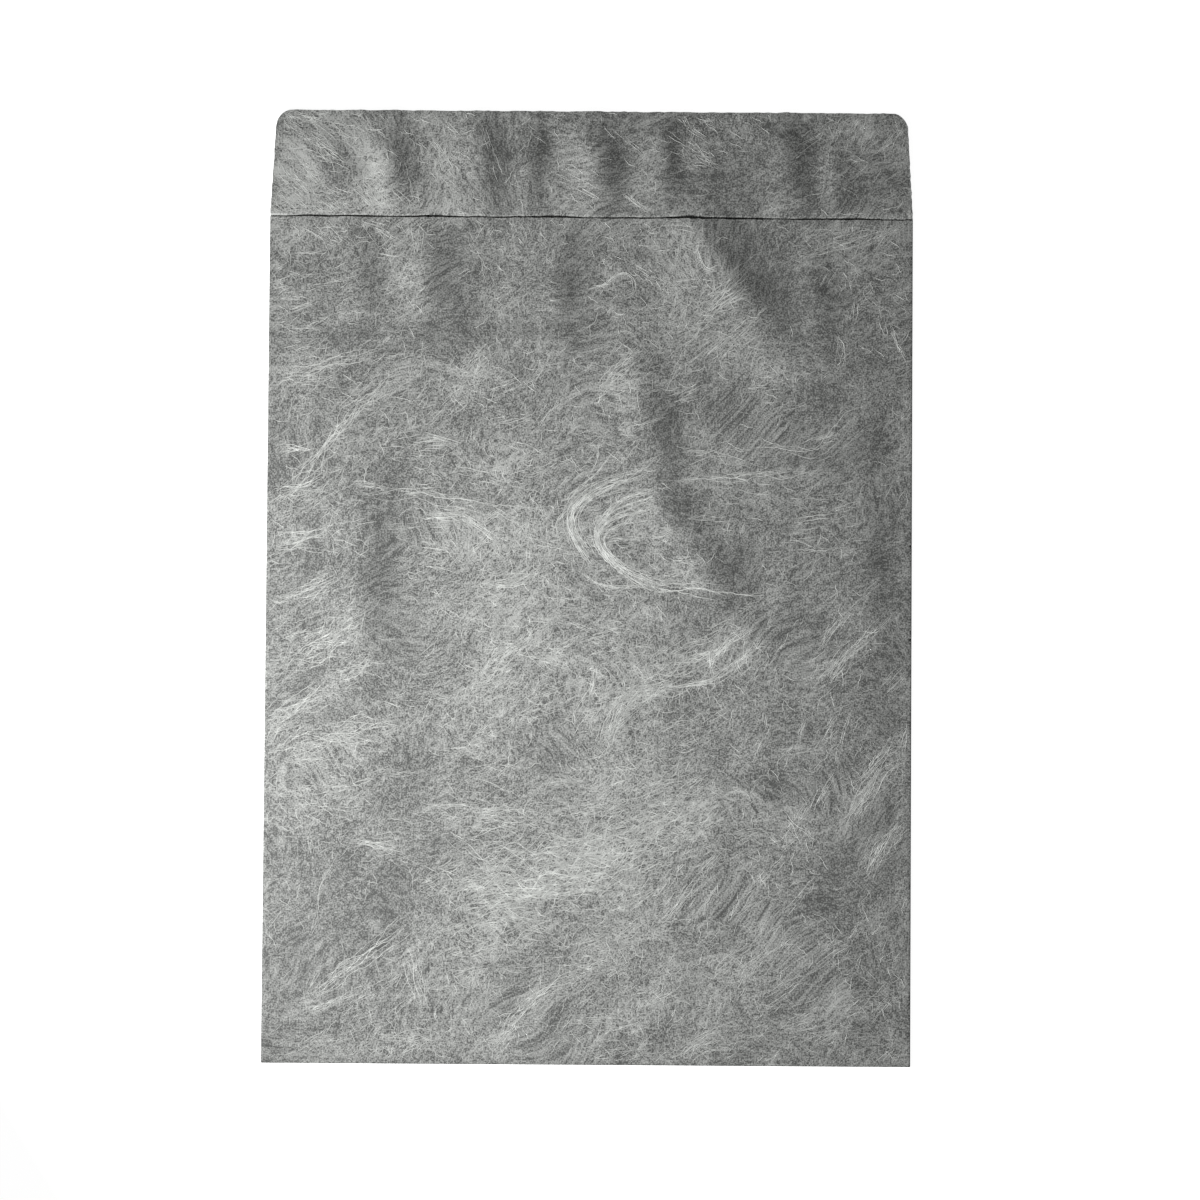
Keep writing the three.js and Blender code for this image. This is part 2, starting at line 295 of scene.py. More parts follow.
# Size, detail and roughness of the felt's other noise, after the stretch and seed of what follows the lay;
# half the width of its web, the height of its relief in mm, and how rough the felt and the strands are.
CLOUD = (26.0, 3.0, 0.62)
GRAIN = (0.56,)
RELIEF = (0.9, 1.0, 0.7)
PORES = (1.15, 11.0, 1.2, 1.0, 0.7)
THREADS = (1.25, 29.0, 1.7, 1.0, 0.7)
TUFTS = (1.25, 17.0, 2.6)
WEB_HALF = 0.10
RELIEF_HEIGHT = 0.09
FELT_ROUGHNESS = 0.62
STRAND_ROUGHNESS = 0.6

# How much each layer counts in the paleness of the felt, and how pale it is without them.
SHARES = {
    "streaks": 0.70, "curls": 0.42, "pores": 0.62, "web": 1.3, "tufts": 0.45, "grain": 1.1,
    "haze": 0.05, "veil": 0.62, "cloud": 0.42,
}
PLAIN_PALENESS = 0.125

# How much more of the fibres and of the roughness shows where the felt's patches and painted highlights make
# it paler, and how much shows anyhow.
FIBRES_SHOWN = (1.2, 0.62)
ROUGH_SHOWN = (0.9, 1.0)

# Short curled fibres: the range of their points and how many combing adds, how far they stray and how
# sharply they bend in combed felt, with what loose felt adds, and the size and pace of their kinks.
CURLED_POINTS = (5.0, 8.0)
COMBED_POINTS = 3.0
CURLED_STRAY = (0.25, 1.5)
CURLED_BEND = (0.14, 0.24)
KINK = 0.25
KINK_PACE = 2.1

# Combed fibres: how many in a bundle, how far a bundle strays, the range of a fibre's points, how far it
# slides along and lies beside its bundle, its slant, and its crimp.
IN_BUNDLE = 6
BUNDLE_STRAY = (0.12, 0.5)
BUNDLE_POINTS = (4.0, 10.0)
SLIDE = 3.5
BESIDE = 1.1
SLANT = 0.06
BUNDLE_CRIMP = (6.5, 0.16)

# Threads: the range of their thickness and how deep they are sunk, both beside their width, how fast they
# taper off at the ends, and the fewest points that one may have.
THICKNESS_RANGE = (0.4, 1.45)
SUNK = 0.05
TAPER = 0.6
FEWEST_POINTS = 4

# Seeds of the places and of the thickness of the strands, and of the short fibres.
STRAND_SEEDS = (4, 5)
FIBRE_SEEDS = (6, 7)

# The stage: the side lamp's place, aim and sides in metres, what the camera looks at in mm, and the floor.
KEY_PLACE = (-0.31, -0.175, 0.30)
KEY_AIM = (0.37, 0.25, 0.48)
KEY_SIDES = (0.12, 0.16)
CAMERA_AIM = (4.2, -5.3, 0.0)
FLOOR_SIDE = 6.0
FLOOR_GAP = 0.1
FLOOR_GREY = (0.8, 0.8, 0.8, 1.0)
FLOOR_GLOW = 0.92
WHITE = (1.0, 1.0, 1.0, 1.0)

# The sockets of a Mix node that mixes colours: its share, its two colours, and the colour it gives.
MIX_SOCKETS = (0, 6, 7, 2)


class SheetSettings(bpy.types.PropertyGroup):
    """Cut and folds of the sheet."""

    flap_length: FloatProperty(name="Flap length", description="Flap beyond the mouth, mm", default=40.5)
    flap_taper: FloatProperty(name="Flap taper", description="Lean of the flap's sides, mm", default=2.2)
    corner_radius: FloatProperty(name="Corner radius", description="Flap's round corners, mm", default=6.4)
    thickness: FloatProperty(name="Thickness", description="Of the sheet, mm", default=0.2)
    tab_width: FloatProperty(name="Tab width", description="Glued side tabs, mm", default=14.0)
    fold_radius: FloatProperty(name="Fold radius", description="Outside of the side folds, mm", default=0.5)
    loft: FloatProperty(name="Loft", description="Rise of the near panel off its folds, mm", default=1.0)
    droop: FloatProperty(name="Droop", description="Sag of the mouth's loose edge, mm", default=0.8)
    spring: FloatProperty(name="Flap spring", description="Lift of the flap off its score, mm", default=1.0)
    cell: FloatProperty(name="Cell", description="Size of the sheet's mesh cells, mm", default=1.6)


class FibreSettings(bpy.types.PropertyGroup):
    """Fibres of the felt and its colours."""

    sheet_colour: FloatVectorProperty(
        name="Sheet", description="Grey between the fibres", subtype="COLOR", default=(0.10, 0.103, 0.099)
    )
    fibre_colour: FloatVectorProperty(
        name="Fibre", description="Pale single fibres", subtype="COLOR", default=(0.52, 0.53, 0.512)
    )
    strand_colour: FloatVectorProperty(
        name="Strand", description="Palest strands, on top", subtype="COLOR", default=(0.75, 0.765, 0.74)
    )
    strand_width: FloatProperty(name="Strand width", description="Of the long strands, mm", default=0.28)
    fibre_width: FloatProperty(name="Fibre width", description="Of the short fibres, mm", default=0.23)
    fibre_count: IntProperty(name="Fibres", description="Short fibres in a full layer", default=2800)


class StageSettings(bpy.types.PropertyGroup):
    """Camera and lamps."""

    camera_distance: FloatProperty(name="Distance", description="Camera to sheet", unit="LENGTH", default=3.0)
    view_width: FloatProperty(name="View width", description="Width of view", unit="LENGTH", default=0.4485)
    tilt: FloatProperty(name="Tilt", description="Off the plumb", subtype="ANGLE", default=math.radians(5.6))
    roll: FloatProperty(name="Roll", description="On its axis", subtype="ANGLE", default=math.radians(0.4))
    key_power: FloatProperty(name="Key lamp", description="Side lamp's power", unit="POWER", default=4.75)
    fill_strength: FloatProperty(name="Fill", description="Strength of the surrounding light", default=0.09)


def eased(distance, stretch):
    """0 at the start of a stretch and 1 past its end, with no kink at either."""
    share = np.clip(distance / stretch, 0.0, 1.0)
    return share * share * (3.0 - 2.0 * share)


def ridge_height(buckles, across, along):
    """Height of all the ridges of a list at the given places."""
    height = np.zeros_like(across)
    for middle_x, middle_y, degrees, width, length, rise in buckles:
        turn = math.radians(degrees)
        dx = across - middle_x
        dy = along - middle_y
        lengthwise = (dx * math.cos(turn) + dy * math.sin(turn)) / length
        crosswise = (dy * math.cos(turn) - dx * math.sin(turn)) / width
        height += rise * np.exp(-(lengthwise**2) - crosswise**2)
    return height


def soft_waves(across, along, seed, wavelength, height, count=28):
    """Random soft undulations of about one wavelength and height: a sum of plane waves."""
    chance = np.random.default_rng(seed)
    total = np.zeros_like(across)
    for _ in range(count):
        way = chance.uniform(0.0, math.pi)
        pitch = wavelength * chance.uniform(0.65, 1.5)
        phase = chance.uniform(0.0, 2.0 * math.pi)
        travel = across * math.cos(way) + along * math.sin(way)
        total += np.sin(2.0 * math.pi * travel / pitch + phase)
    return total * height * math.sqrt(2.0 / count)


def wrinkled(wrinkles, across, along):
    """Height of all the wrinkles of a list at the given places."""
    return sum(soft_waves(across, along, *wrinkle) for wrinkle in wrinkles)


class Sheet:
    """The sheet's sizes in mm, and where its underside lies at any place."""

    # The flap's score line, the flat beside it and the least height past it.
    score_width = 1.2
    flat_rim = 0.5
    lowest = 0.05

    # How the near panel rises off its folds, sags at the mouth and loses its wrinkles at the folds.
    ledge = 0.6
    shoulder = 24.0
    droop_length = 60.0
    ripple_fade = 5.0
    mouth_reach = 3.0
    glue_depth = 0.02

    # The faint straight crease, and the nicks of the right side fold.
    lip_along = -47.4
    lip_height = 0.22
    lip_rise = 0.5
    lip_fade = 18.0
    lip_end = 4.0
    nick_depth = 0.9
    nick_half = 0.75
    nick_slope = 0.5
    nick_reach = 2.0

    def __init__(self, settings):
        self.flap = settings.flap_length
        self.taper = settings.flap_taper
        self.corner = settings.corner_radius
        self.thickness = settings.thickness
        self.tab = settings.tab_width
        self.side_radius = settings.fold_radius
        self.loft = settings.loft
        self.droop = settings.droop
        self.spring = settings.spring
        self.cell = settings.cell
        self.body = OVERALL_LENGTH - self.flap
        self.half = BODY_WIDTH / 2.0
        self.panel_half = self.half - self.side_radius
        self.tab_base = self.thickness - self.glue_depth
        self.panel_base = self.tab_base + 2.0 * self.side_radius - self.thickness
        self.bottom_radius = (self.panel_base + self.thickness) / 2.0
        self.bottom = -self.body + self.bottom_radius

    def far_underside(self, across, along):
        """Of the far panel, which lies flat, and the flap, which springs up past its score line."""
        wrinkles = wrinkled(FLAP_WRINKLES, across, along)
        lifted = self.spring + ridge_height(FLAP_BUCKLES, across, along) + wrinkles
        raised = np.maximum(lifted * eased(along, self.score_width), self.lowest)
        return np.where(along > 0.0, raised, 0.0)

    def near_underside(self, across, along):
        """Of the near panel, level with its folds round three sides and loose at the mouth."""
        from_side = self.panel_half - self.ledge - np.abs(across)
        from_bottom = along - self.bottom - self.ledge
        clear = eased(from_side, self.shoulder) * eased(from_bottom, self.shoulder)
        droop = self.droop * (1.0 - eased(-along, self.droop_length))
        wrinkles = wrinkled(PANEL_WRINKLES, across, along) + self.lip(across, along)
        ripple = eased(from_side, self.ripple_fade) * eased(from_bottom, self.ripple_fade) * wrinkles
        buckled = ridge_height(PANEL_BUCKLES, across, along)
        return self.panel_base + clear * (self.loft - droop + buckled) + ripple

    def lip(self, across, along):
        """A faint straight crease below the mouth that faces the bottom and sinks away above."""
        past = along - self.lip_along
        end = self.lip_end
        reach = sum(eased(across - left, end) * eased(right - across, end) for left, right in LIPS)
        return self.lip_height * reach * eased(past, self.lip_rise) * (1.0 - eased(past, self.lip_fade))

    def nick(self, along):
        """How far the right side fold is dented in at its two nicks."""
        inside = self.nick_half - min(abs(along - place) for place in NICKS)
        return self.nick_depth * eased(inside, self.nick_slope)

    def top(self, across, along):
        """Height of the face that shows from above."""
        far = self.far_underside(across, along)
        near = self.near_underside(across, along)
        return np.where(along > 0.0, far, near) + self.thickness

    def half_width(self, along):
        """Half the far panel's width at a place along it, with the flap's taper and round corners."""
        lean = self.taper / self.flap
        straight = self.half - lean * np.clip(along, 0.0, None)
        slope = math.atan(lean)
        run = self.corner / math.tan((math.pi / 2.0 + slope) / 2.0)
        centre_x = self.half - self.taper - run
        centre_y = self.flap - self.corner
        above = np.clip(along - centre_y, 0.0, self.corner)
        rounded = centre_x + np.sqrt(self.corner**2 - above**2)
        turned = along > centre_y + self.corner * math.sin(slope)
        return np.where(turned, rounded, straight)


def mouth_line():
    """Where the mouth lies along the part's frame, mm."""
    return HIGH[1] / MM - bpy.context.scene.envelope_sheet.flap_length


def placed(across, along, height):
    """Millimetres from the centre line and the mouth as metres in the part's frame."""
    return np.stack([across, along + mouth_line(), height], axis=-1) * MM


def spaced(start, end, pitch):
    """Even places from one end of a stretch to the other, about a pitch apart."""
    return np.linspace(start, end, max(2, int(round(abs(end - start) / pitch)) + 1))


def section(sheet):
    """The near panel's section from the left tab's edge to the right tab's: where each column of the
    blank comes to lie across and up, what is flat panel, and how far along the section it is."""
    middle = sheet.side_radius - sheet.thickness / 2.0
    turns = np.linspace(-math.pi / 2.0, math.pi / 2.0, SIDE_FOLD_STEPS)
    fold_x = sheet.panel_half + middle * np.cos(turns)
    fold_z = sheet.tab_base + sheet.side_radius + middle * np.sin(turns)
    tab_x = spaced(sheet.half - sheet.tab, sheet.panel_half, TAB_CELL)[:-1]
    tab_z = np.full_like(tab_x, sheet.tab_base + sheet.thickness / 2.0)
    half_x = np.concatenate([tab_x, fold_x[:-1]])
    half_z = np.concatenate([tab_z, fold_z[:-1]])
    flat_x = spaced(-sheet.panel_half, sheet.panel_half, sheet.cell)
    across = np.concatenate([-half_x, flat_x, half_x[::-1]])
    height = np.concatenate([half_z, np.zeros_like(flat_x), half_z[::-1]])
    is_panel = np.zeros(across.size, bool)
    is_panel[half_x.size : half_x.size + flat_x.size] = True
    return across, height, is_panel


def blank_rows(sheet):
    """Rows of the blank from the flap's end, down the far panel, round the bottom fold and up the near
    panel: the kind of each row with its place along, or its turn round the fold."""
    corner_start = sheet.flap - sheet.corner
    corner = corner_start + sheet.corner * np.sin(np.linspace(math.pi / 2.0, 0.0, CORNER_STEPS))
    flap = spaced(corner_start, sheet.score_width, sheet.cell)[1:]
    score = spaced(sheet.score_width, 0.0, SCORE_CELL)[1:]
    far = [-sheet.flat_rim, *spaced(0.0, sheet.bottom, FAR_CELL)[1:]]
    turns = np.linspace(-math.pi / 2.0, math.pi / 2.0, BOTTOM_FOLD_STEPS)[1:-1]
    near = spaced(sheet.bottom, 0.0, sheet.cell)
    fine = [sheet.lip_along + shift for shift in LIP_ROWS]
    fine += [place + shift for place in NICKS for shift in NICK_ROWS]
    near = [row for row in near if min(abs(row - other) for other in fine) > FINE_ROOM]
    near = sorted([*near, *fine])
    rows = [("far", along) for along in np.concatenate([corner, flap, score, far])]
    rows += [("bend", turn) for turn in turns]
    rows += [("near", along) for along in near]
    return rows


def cut_wobble(places, seed):
    """How far a cut edge strays from its line, mm."""
    nowhere = np.zeros_like(places)
    return sum(soft_waves(places, nowhere, seed + turn, *wave) for turn, wave in enumerate(CUT_WAVES))


def far_row(sheet, place, flat):
    """Where a row of the far panel or the flap lies."""
    along = np.full_like(flat, place)
    right, left = cut_wobble(np.array([place, place + OTHER_SIDE]), SIDE_CUT)
    reach = sheet.half_width(along) + np.where(flat > 0.0, right, left) * (place > 0.0)
    x = flat / sheet.panel_half * reach
    tip = eased(place - sheet.flap + sheet.corner, sheet.corner)
    along = along + tip * cut_wobble(x, END_CUT)
    return placed(x, along, sheet.far_underside(x, along) + sheet.thickness / 2.0)


def bend_row(sheet, turn, flat):
    """Where a row of the bottom fold lies."""
    middle = sheet.bottom_radius - sheet.thickness / 2.0
    rise = (math.sin(turn) + 1.0) / 2.0
    reach = sheet.half + (sheet.panel_half - sheet.half) * rise
    along = np.full_like(flat, sheet.bottom - middle * math.cos(turn))
    height = np.full_like(flat, sheet.bottom_radius + middle * math.sin(turn))
    return placed(flat / sheet.panel_half * reach, along, height)


def near_row(sheet, place, across, height, is_panel):
    """Where a row of the near panel lies, with its side folds and tabs."""
    mouth = eased(place + sheet.mouth_reach, sheet.mouth_reach)
    along = place + mouth * cut_wobble(across, MOUTH_CUT)
    z = height.copy()
    z[is_panel] = sheet.near_underside(across[is_panel], along[is_panel]) + sheet.thickness / 2.0
    dent = sheet.nick(place) * eased(across - sheet.panel_half + sheet.nick_reach, sheet.nick_reach)
    return placed(across - dent, along, z)


def folded_row(sheet, kind, value, across, height, is_panel):
    """Where one row of the blank lies once it is folded, and which of its points the blank has."""
    if kind == "near":
        return near_row(sheet, value, across, height, is_panel), np.ones_like(is_panel)
    lay = {"far": far_row, "bend": bend_row}[kind]
    row = np.zeros((across.size, 3))
    row[is_panel] = lay(sheet, value, across[is_panel])
    return row, is_panel


def deselect():
    """Leaves nothing selected."""
    bpy.ops.object.select_all(action="DESELECT")


def finished(piece, name, finish):
    """Names a piece, gives it its finish, and lets it ride on the part."""
    piece.name = name
    piece.data.name = name
    piece.data.materials.append(finish)
    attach(piece, "root")


def polyline_distance(points, across, along):
    """Least distance from each place to a route."""
    nearest = np.full_like(across, np.inf)
    for (x0, y0), (x1, y1) in zip(points[:-1], points[1:]):
        dx, dy = x1 - x0, y1 - y0
        share = ((across - x0) * dx + (along - y0) * dy) / (dx * dx + dy * dy)
        share = np.clip(share, 0.0, 1.0)
        gap = np.hypot(across - x0 - share * dx, along - y0 - share * dy)
        nearest = np.minimum(nearest, gap)
    return nearest


def skein_density(across, along):
    """How thickly the strands of the skeins lie round each place, from 0 to about 1."""
    density = np.zeros_like(across)
    for count, spread, route in SKEINS:
        reach = 2.0 * spread + SKEIN_RIM
        density += count / FULL_SKEIN * np.exp(-((polyline_distance(route, across, along) / reach) ** 2))
    return 1.0 - np.exp(-density)


def veil_density(across, along):
    """How much paler or darker the patches of the felt, with the painted highlights and painted shade beside
    the buckles' ridges, make each place.
    """
    density = np.zeros_like(across)
    for middle_x, middle_y, degrees, length, width, strength in VEILS_AND_PAINTED_LIGHT:
        density += ridge_height([(middle_x, middle_y, degrees, width, length, strength)], across, along)
    return density


class Value:
    """What comes out of a node, ready for arithmetic: each operation adds a Math node."""

    def __init__(self, finish, socket):
        self.finish = finish
        self.socket = socket

    def maths(self, operation, *terms):
        return self.finish.node("ShaderNodeMath", {"operation": operation}, dict(enumerate(terms)))

    def __add__(self, other):
        return self.maths("ADD", self, other)

    def __sub__(self, other):
        return self.maths("SUBTRACT", self, other)

    def __rsub__(self, other):
        return self.maths("SUBTRACT", other, self)

    def __mul__(self, other):
        return self.maths("MULTIPLY", self, other)

    def __abs__(self):
        return self.maths("ABSOLUTE", self)

    def or_more(self, other):
        return self.maths("MAXIMUM", self, other)

    __radd__ = __add__
    __rmul__ = __mul__


class Finish:
    """The nodes of a material or of the world, written as expressions."""

    def __init__(self, owner):
        self.owner = owner
        owner.use_nodes = True
        self.tree = owner.node_tree
        self.tree.nodes.clear()

    def node(self, kind, settings=None, inputs=None, output=0):
        """Adds a node with its settings and the values or links of its sockets."""
        made = self.tree.nodes.new(kind)
        for name, value in (settings or {}).items():
            setattr(made, name, value)
        for key, value in (inputs or {}).items():
            if isinstance(value, Value):
                self.tree.links.new(value.socket, made.inputs[key])
            else:
                made.inputs[key].default_value = value
        return Value(self, made.outputs[output]) if made.outputs else None

    def vector(self, operation, *terms):
        return self.node("ShaderNodeVectorMath", {"operation": operation}, dict(enumerate(terms)))

    def noise(self, place, size, detail=0.0, roughness=0.5, output="Fac"):
        inputs = {"Vector": place, "Scale": 1.0 / size, "Detail": detail, "Roughness": roughness}
        return self.node("ShaderNodeTexNoise", {"noise_dimensions": "2D"}, inputs, output)

    def between(self, value, low, high, at_low, at_high):
        """Goes softly from one number to another while the value goes from low to high."""
        inputs = {"Value": value, 1: low, 2: high, 3: at_low, 4: at_high}
        return self.node("ShaderNodeMapRange", {"interpolation_type": "SMOOTHSTEP"}, inputs)

    def faded(self, kind, place):
        """How strong a layer that comes and goes is at a place."""
        noise, fade = FADES[kind]
        return self.between(self.noise(place, *noise), *fade)

    def blend(self, share, first, second):
        """A colour between two."""
        in_share, in_first, in_second, out = MIX_SOCKETS
        settings = {"data_type": "RGBA", "clamp_factor": False}
        inputs = {in_share: share, in_first: (*first, 1.0), in_second: (*second, 1.0)}
        return self.node("ShaderNodeMix", settings, inputs, out)

    def surface(self, kind, inputs, ending="ShaderNodeOutputMaterial"):
        """Ends the nodes in a shader, and gives the material or the world that they make."""
        shader = self.node(kind, None, inputs)
        self.node(ending, None, {"Surface": shader})
        return self.owner


def pushed(finish, place, size, reach):
    """A place moved about by soft noise: size is how fine, reach how far, in mm."""
    drift = finish.noise(place, size, 1.0, output="Color")
    centred = finish.vector("SUBTRACT", drift, (0.5, 0.5, 0.5))
    return finish.vector("MULTIPLY_ADD", centred, (2.0 * reach, 2.0 * reach, 0.0), place)


def combed(finish, place, turn, stretch, seed):
    """A place turned and drawn out, so that noise on it runs in streaks along one way."""
    inputs = {"Vector": place, "Axis": (0.0, 0.0, 1.0), "Angle": turn}
    turned = finish.node("ShaderNodeVectorRotate", {"rotation_type": "AXIS_ANGLE"}, inputs)
    return finish.vector("MULTIPLY_ADD", turned, (1.0 / stretch, 1.0, 0.0), (seed, -seed, 0.0))


def lines(finish, place, pitch, fineness, detail=1.0):
    """Thin lines where soft noise passes its middle: 1 on a line and 0 off it."""
    waves = finish.noise(place, pitch, detail=detail)
    return finish.between(abs(waves - 0.5), 0.0, fineness, 1.0, 0.0)


def streaks(finish, flow, crimped, degrees, share, seed):
    """Long fibres that run about one way in bundles, and the haze between them."""
    turn = math.radians(-degrees)
    haze = finish.faded("bundles", combed(finish, flow, turn, BUNDLE_STRETCH, seed)) * share
    drawn = combed(finish, crimped, turn, STREAK_STRETCH, seed)
    fine = lines(finish, drawn, *FINE_LINES) * FINE_STRENGTH
    return lines(finish, drawn, *STOUT_LINES).or_more(fine) * haze, haze


def curls(finish, place, pitch, seed):
    """Short crimped fibres that run every way, in pieces, thicker in some places than in others."""
    away = finish.vector("ADD", place, (seed, -seed, 0.0))
    curled = lines(finish, pushed(finish, away, *CURLING), pitch, CURL_FINENESS, 0.0)
    return curled * finish.faded("patches", away) * finish.faded("pieces", away)


def along_lay(finish, place, stretch, seed, *noise):
    """Soft noise drawn out along the felt's lay, from about -0.5 to 0.5."""
    return finish.noise(combed(finish, place, -LAY, stretch, seed), *noise) - 0.5


def weighed(**layers):
    """Layers of the felt added up, each by its share."""
    first, *others = [layer * SHARES[name] for name, layer in layers.items()]
    return sum(others, first)


def millimetres(finish):
    """The place on the piece in mm."""
    spot = finish.node("ShaderNodeTexCoord", output="Object")
    return finish.vector("MULTIPLY", spot, (1.0 / MM, 1.0 / MM, 0.0))


def shown(veil, more, least):
    """How much of a layer shows where the felt's patches and its painted highlights and shade make it paler
    or darker.
    """
    return veil * more + least


def felt_finish(settings):
    """The sheet: grey between pale fibres that lie in veils, streaks and curls, with painted highlights and
    painted shade along the buckles' ridges.
    """
    finish = Finish(bpy.data.materials.new("spunbond_felt"))
    place = millimetres(finish)
    flow = pushed(finish, place, *FLOW)
    crimped = pushed(finish, flow, *FELT_CRIMP)
    long_fibres, haze = 0.0, 0.0
    for way in STREAKS:
        layer, mist = streaks(finish, flow, crimped, *way)
        long_fibres = layer.or_more(long_fibres)
        haze = mist + haze
    short_fibres = 0.0
    for pitch, seed in CURLS:
        short_fibres = curls(finish, place, pitch, seed).or_more(short_fibres)
    cloud = finish.noise(place, *CLOUD) - 0.5
    grain = finish.noise(place, *GRAIN) - 0.5
    pores = along_lay(finish, crimped, *PORES)
    web = WEB_HALF - abs(along_lay(finish, crimped, *THREADS))
    tufts = along_lay(finish, crimped, *TUFTS)
    # This attribute holds the felt's patches together with painted highlights and painted shade beside the
    # buckles' ridges.
    veil = finish.node("ShaderNodeAttribute", {"attribute_name": "veil"}, output="Fac")
    fibres = weighed(streaks=long_fibres, curls=short_fibres) * shown(veil, *FIBRES_SHOWN)
    rough = weighed(pores=pores, web=web, tufts=tufts, grain=grain) * shown(veil, *ROUGH_SHOWN)
    base = weighed(haze=haze, veil=veil, cloud=cloud) + rough + PLAIN_PALENESS
    share = finish.node("ShaderNodeClamp", None, {"Value": fibres + base})
    colour = finish.blend(share, settings.sheet_colour, settings.fibre_colour)
    height = finish.noise(place, *RELIEF)
    bump = {"Height": height, "Strength": 0.5, "Distance": RELIEF_HEIGHT * MM}
    relief = finish.node("ShaderNodeBump", None, bump)
    look = {"Base Color": colour, "Roughness": FELT_ROUGHNESS, "Normal": relief}
    return finish.surface("ShaderNodeBsdfPrincipled", look)


def strand_finish(settings):
    """The single strands: the paler fibre, a little uneven along its length."""
    finish = Finish(bpy.data.materials.new("spunbond_strand"))
    pale = finish.faded("strands", millimetres(finish))
    colour = finish.blend(pale, settings.fibre_colour, settings.strand_colour)
    look = {"Base Color": colour, "Roughness": STRAND_ROUGHNESS}
    return finish.surface("ShaderNodeBsdfPrincipled", look)


def floor_finish():
    """A pale floor that also glows where the camera sees it, so that it shows nearly white."""
    finish = Finish(bpy.data.materials.new("white_floor"))
    seen = finish.node("ShaderNodeLightPath", output="Is Camera Ray")
    mirrored = finish.node("ShaderNodeLightPath", output="Is Glossy Ray")
    glow = {"Color": WHITE, "Strength": seen.or_more(mirrored) * FLOOR_GLOW}
    lit = finish.node("ShaderNodeBsdfDiffuse", None, {"Color": FLOOR_GREY})
    glowing = finish.node("ShaderNodeEmission", None, glow)
    return finish.surface("ShaderNodeAddShader", {0: lit, 1: glowing})


def surrounding_light(strength):
    """A world that is white where the camera sees it, and lights with another strength."""
    finish = Finish(bpy.data.worlds.new("studio"))
    seen = finish.node("ShaderNodeLightPath", output="Is Camera Ray")
    inputs = {"Color": WHITE, "Strength": finish.between(seen, 0.0, 1.0, strength, 1.0)}
    return finish.surface("ShaderNodeBackground", inputs, "ShaderNodeOutputWorld")


class ENVELOPE_OT_fold_sheet(bpy.types.Operator):
    """Cut the blank, fold it and glue it into the envelope's one sheet"""

    bl_idname = "envelope.fold_sheet"
    bl_label = "Fold the sheet"

    def execute(self, context):
        sheet = Sheet(context.scene.envelope_sheet)
        across, height, is_panel = section(sheet)
        rows = blank_rows(sheet)
        columns = across.size
        deselect()
        bpy.ops.mesh.primitive_grid_add(x_subdivisions=columns - 1, y_subdivisions=len(rows) - 1, size=1.0)
        blank = context.object
        count = len(blank.data.vertices)
        if count != columns * len(rows):
            raise RuntimeError(f"the grid has {count} points and needs {columns * len(rows)}")
        flat = np.empty(count * 3)
        blank.data.vertices.foreach_get("co", flat)
        flat = flat.reshape(count, 3)
        column = np.rint((flat[:, 0] + 0.5) * (columns - 1)).astype(int)
        row_of = np.rint((0.5 - flat[:, 1]) * (len(rows) - 1)).astype(int)
        lain = [folded_row(sheet, kind, value, across, height, is_panel) for kind, value in rows]
        folded = np.array([row for row, kept in lain])
        kept = np.array([kept for row, kept in lain])
        blank.data.vertices.foreach_set("co", folded[row_of, column].ravel())
        blank.data.update()
        self.trim(blank, ~kept[row_of, column])
        self.store_veil(blank)
        thicken = blank.modifiers.new("Thickness", "SOLIDIFY")
        thicken.thickness = sheet.thickness * MM
        thicken.offset = 0.0
        thicken.use_even_offset = True
        bpy.ops.object.modifier_apply(modifier=thicken.name)
        bpy.ops.object.shade_smooth_by_angle(angle=math.radians(40.0))
        finished(blank, "folded_sheet", felt_finish(context.scene.envelope_fibres))
        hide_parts("envelope")
        return {"FINISHED"}

    def trim(self, blank, outside):
        """Cuts away the corners of the grid that the blank doesn't have."""
        corner = np.empty(len(blank.data.loops), int)
        blank.data.loops.foreach_get("vertex_index", corner)
        off = outside[corner.reshape(-1, 4)].any(axis=1)
        bpy.ops.object.mode_set(mode="EDIT")
        bpy.ops.mesh.select_mode(type="FACE")
        bpy.ops.mesh.select_all(action="DESELECT")
        bpy.ops.object.mode_set(mode="OBJECT")
        blank.data.polygons.foreach_set("select", off)
        bpy.ops.object.mode_set(mode="EDIT")
        bpy.ops.mesh.delete(type="FACE")
        bpy.ops.object.mode_set(mode="OBJECT")

    def store_veil(self, blank):
        """Keeps on each point how much paler or darker its patches and skeins make it, with the painted
        highlights and painted shade of the buckles' ridges.
        """
        count = len(blank.data.vertices)
        points = np.empty(count * 3)
        blank.data.vertices.foreach_get("co", points)
        points = points.reshape(count, 3) / MM
        across, along = points[:, 0], points[:, 1] - mouth_line()
        # The patches here include painted highlights and painted shade on the sides of the buckles' ridges.
        pale = veil_density(across, along) + SKEIN_PALENESS * skein_density(across, along)
        veil = blank.data.attributes.new("veil", "FLOAT", "POINT")
        veil.data.foreach_set("value", pale)


def smoothed(route, step):
    """Evenly spaced points on a soft curve through a route's points."""
    points = np.array(route, float)
    ends = 2.0 * points[[0, -1]] - points[[1, -2]]
    points = np.vstack([ends[0], points, ends[1]])
    curve = []
    for p0, p1, p2, p3 in zip(points[:-3], points[1:-2], points[2:-1], points[3:]):
        count = max(2, int(np.hypot(*(p2 - p1)) / step))
        t = np.linspace(0.0, 1.0, count, endpoint=False)[:, None]
        bend = (2.0 * p0 - 5.0 * p1 + 4.0 * p2 - p3) * t**2 + (3.0 * p1 - 3.0 * p2 + p3 - p0) * t**3
        curve.append(0.5 * (2.0 * p1 + (p2 - p0) * t + bend))
    curve.append(points[-2][None])
    return np.vstack(curve)


